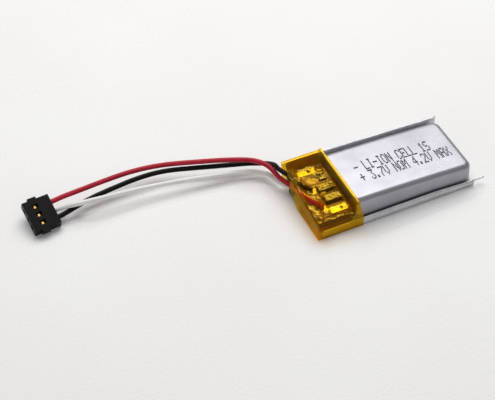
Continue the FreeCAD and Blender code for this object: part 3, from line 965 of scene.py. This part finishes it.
CREASES = (
    Crease(((-12.55, -2.9), (-12.05, -2.45), (-11.75, -3.0), (-12.35, -3.9)), 0.30, 0.24),
    Crease(((-11.9, -3.2), (-12.1, -4.2), (-12.9, -5.6)), 0.18, 0.14),
    Crease(((-13.4, 2.9), (-13.2, 1.6), (-13.35, 0.2)), 0.14, 0.14),
    Crease(((-12.3, 5.0), (-12.6, 4.2), (-12.9, 3.5)), 0.26, 0.26),
    Crease(((-12.7, 2.6), (-11.9, 0.9), (-11.6, -0.6), (-11.9, -2.0)), 0.10, 0.10),
    Crease(((-11.6, 1.4), (-8.1, 0.98)), 0.08, 0.12),
    Crease(((-10.9, -1.05), (-8.15, -0.95)), 0.08, 0.12),
    Crease(((-11.2, -2.75), (-8.2, -3.15)), 0.09, 0.12),
    Crease(((-8.05, 2.6), (-8.2, -3.9)), 0.07, 0.10),
    Crease(((-9.4, -4.0), (-8.4, -5.0)), 0.12, 0.12),
    Crease(((-10.6, -4.9), (-9.0, -5.2), (-8.0, -4.9)), 0.10, 0.12),
    Crease(((-7.30, 3.95), (-7.02, 3.6), (-7.10, 3.15), (-7.5, 3.4), (-7.30, 3.95)), 0.12, 0.12),
)


# Height of the film by place across the pack: at its left rim, over the bare board, and at the flap's top.
RIM = ((-6.3, 1.94), (-5.8, 2.83), (-3.3, 3.15), (0.8, 3.85), (3.4, 4.12), (5.4, 4.32), (6.3, 4.5))
BOARD_COVER = ((-6.0, 2.9), (-3.5, 3.12), (1.0, 3.28), (3.6, 3.40), (6.0, 3.9))
FLAP_TOP = ((-6.3, 1.75), (-5.8, 2.70), (-3.3, 3.05), (0.8, 3.72), (3.4, 3.95))


@dataclass(frozen=True)
class Wrap:
    """The amber film round the board bay, drawn down over what lies under it.

    Attributes:
        pouch: the pouch that it is wrapped on.
        left, right: its ends along X.
        near, far: its outer faces at the seals' tops.
        thickness: of the film.
        steps_along, steps_across: how finely its skin is divided.
    """

    pouch: Pouch
    left: float = -13.8
    right: float = -7.18
    near: float = -6.28
    far: float = 6.27
    thickness: float = 0.05
    steps_along: int = 130
    steps_across: int = 190

    def bumps(self) -> list[Bump]:
        """What the film lies on.

        Returns:
            A bump for each package and plate, and rods for the ends of the red and black leads.
        """
        def over(node: str, rise: float) -> Bump:
            low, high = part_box(node)
            return Bump((low[0] / MM, low[1] / MM), (high[0] / MM, high[1] / MM), high[2] / MM + rise)

        found = [over(n, 0.16) for n in ("protection_ic", "power_switch_ic")]
        found += [over(n, 0.20) for n in ("sense_resistor", "series_resistor", "filter_capacitor")]
        found += [over("cell_plate_positive", 0.72), over("cell_plate_negative", 0.42)]
        rods = (((-13.2, 1.3), (-13.1, -0.3), 3.72), ((-13.1, -0.3), (-11.6, -3.2), 3.74),
                ((-13.2, 3.9), (-12.85, 2.2), 3.98), ((-12.85, 2.2), (-11.5, 0.45), 3.76))
        return found + [Bump(start, end, top, 0.42) for start, end, top in rods]

    def top(self, x: float, y: float, bumps: Sequence[Bump]) -> float:
        """Height of the film's upper face.

        Args:
            x, y: the place in plan.
            bumps: what the film lies on.

        Returns:
            The height.
        """
        pouch = self.pouch
        rim = between(RIM, y)
        floor = between(BOARD_COVER, y)
        floor += 0.10 * noise.noise(Vector((x / 1.1, y / 1.1, 2.0)))
        level = max(floor, rim - 0.40 * max(x - self.left - 0.1, 0.0))
        for bump in bumps:
            level = max(level, bump.height(x, y))
        folds = noise.ridged_multi_fractal(Vector((x / 1.5, y / 1.5, 8.0)), 1.0, 2.1, 3, 1.0, 2.0)
        level += (0.065 + 0.10 * smoothstep(-4.6, -5.2, y) * smoothstep(-7.9, -8.6, x)) * (folds - 1.0)
        level += max(crease.height(x, y) for crease in CREASES)
        level -= 0.16 * max(1 - (x - self.left) / 0.18, 0.0) ** 2
        shoulder = pouch.shoulder
        reach = x - pouch.left - 0.11
        if reach > 0:
            left_over = max(1 - reach / (shoulder * pouch.taped_shoulder), 0.0)
            drop = shoulder * (1 - math.sqrt(1 - left_over ** 2))
            cup = pouch.crown(x, y) + 0.07 - drop
        else:
            cup = pouch.crown(x, y) - shoulder + 2.6 * reach
        level = max(level, cup)
        steep = 2.6 + 6.0 * smoothstep(-9.2, -7.8, x)
        level = min(level, 1.52 + steep * (y - self.near))
        level = max(level, 4.66 - 0.06 * smoothstep(-10, -7, x) - 0.95 * max(5.80 - y, 0.0))
        return level

    def section(self, x: float, bumps: Sequence[Bump]) -> list[Point]:
        """One closed section of the film's outer face.

        Args:
            x: the place along the pack.
            bumps: what the film lies on.

        Returns:
            Its points: under the pack, up its near side, over the top and down its far side.
        """
        low = 0.02
        sway = 0.05 * noise.noise(Vector((x / 1.8, 0.4, 6)))
        width = self.far - self.near
        across = [self.near + width * k / self.steps_across for k in range(self.steps_across + 1)]
        ring = [(x, 5.78 - 12.0 * k / 12, low) for k in range(12)]
        ring += [(x, self.near + sway * math.sin(math.pi * k / 8), low + 1.5 * k / 8) for k in range(8)]
        ring += [(x, y, self.top(x, y, bumps)) for y in across]
        ring += [(x, self.far - 0.49 * k / 10, 4.6 - 4.55 * k / 10) for k in range(1, 10)]
        slant = 0.6 * smoothstep(self.right - 1.5, self.right, x)
        tuck = 1.5 * smoothstep(self.left + 2.5, self.left, x)
        return [(px + slant * smoothstep(4.7, 1.6, z) * smoothstep(-5.2, -5.9, y)
                 + tuck * smoothstep(1.4, 0.6, z) * smoothstep(0.0, 2.5, y), y, z) for px, y, z in ring]

    def build(self) -> None:
        """Make the wrap, the flap over its end and the bay's lining."""
        bumps = self.bumps()
        span = self.right - self.left
        along = [self.left + span * k / self.steps_along for k in range(self.steps_along + 1)]
        rings = [self.section(x, bumps) for x in along]
        points, faces = loft([list(reversed(ring)) for ring in rings])
        open_ends = faces[:-2]
        wrap = make_piece("amber_film_wrap", points, open_ends, Look.AMBER,
                          ("polyimide_wrap",))
        self.thicken(wrap)
        self.build_flap()
        self.build_lining()

    def build_lining(self) -> None:
        """Make the tan tape that lines the bay: over its floor, up the far seal and up the cup's end. Its
        dark tan is partly painted shade, in the near gap beside the seal and in the recess at the cup's end.
        """
        floor = 0.37
        face = [(-5.90, 1.30), (-5.90, floor), (5.36, floor), (5.52, 1.6), (5.80, 4.30)]
        back = [(y + 0.04 if y > 0 else y - 0.04, z - 0.02) for y, z in reversed(face)]
        ring = face + back
        stations = [self.pouch.terrace_left + 0.05 + 4.95 * k / 6 for k in range(7)]
        points, faces = loft([[(x, y, z) for y, z in reversed(ring)] for x in stations])
        make_piece("bay_lining", points, faces, Look.LINING, smooth=False)
        # tan panel on the cup's end: partly painted shade for the recess between the cup and the board
        outline = ((-5.2, 0.4), (5.0, 0.4), (5.0, 3.1), (-5.2, 3.1))
        points, faces = loft([[(x, y, z) for y, z in outline] for x in (-8.04, -8.0)])
        make_piece("cup_end_lining", points, faces, Look.LINING, smooth=False)

    def thicken(self, piece: bpy.types.Object) -> None:
        """Give a skin the film's thickness, inwards."""
        solid = piece.modifiers.new("film", "SOLIDIFY")
        solid.thickness = self.thickness * MM
        solid.offset = -1
        apply_modifiers(piece)

    def build_flap(self) -> None:
        """Make the flap that closes the near part of the wrap's end."""
        rows = []
        for j in range(25):
            v = j / 24
            row = []
            for i in range(61):
                y = -6.26 + 9.2 * i / 60
                low = 0.03 + 1.5 * smoothstep(0.2, 2.9, y)
                z = low + (between(FLAP_TOP, y) - low) * v
                waver = 0.6 + noise.noise(Vector((y / 1.4, v * 2, 4)))
                billow = 0.05 + 0.10 * math.sin(math.pi * v) * waver
                row.append((self.left - billow, y, z))
            rows.append(row)
        points, faces = loft(rows, closed=False)
        flap = make_piece("amber_end_flap", points, faces, Look.AMBER,
                          ("polyimide_end_flap",))
        self.thicken(flap)


def dress_nodes(nodes: dict[str, bpy.types.Object]) -> None:
    """Give every carried-over CAD node its finish.

    Args:
        nodes: the frame's objects by node name.
    """
    for name, look in NODE_LOOKS.items():
        mesh = nodes[name].data
        mesh.materials.clear()
        mesh.materials.append(look.material)
        LOG.info("%s: %s", name, look.value.name)


def main() -> None:
    """Build the studio, the leads, the pouch, its print and the amber wrap."""
    logging.basicConfig(level=logging.INFO)
    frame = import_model()
    Studio().build()
    for lead in LEADS:
        lead.build()
    pouch = Pouch()
    cup = pouch.build()
    Print().build(cup)
    Wrap(pouch).build()
    dress_nodes(frame["nodes"])
    bpy.context.view_layer.update()


if __name__ == "__main__":
    main()
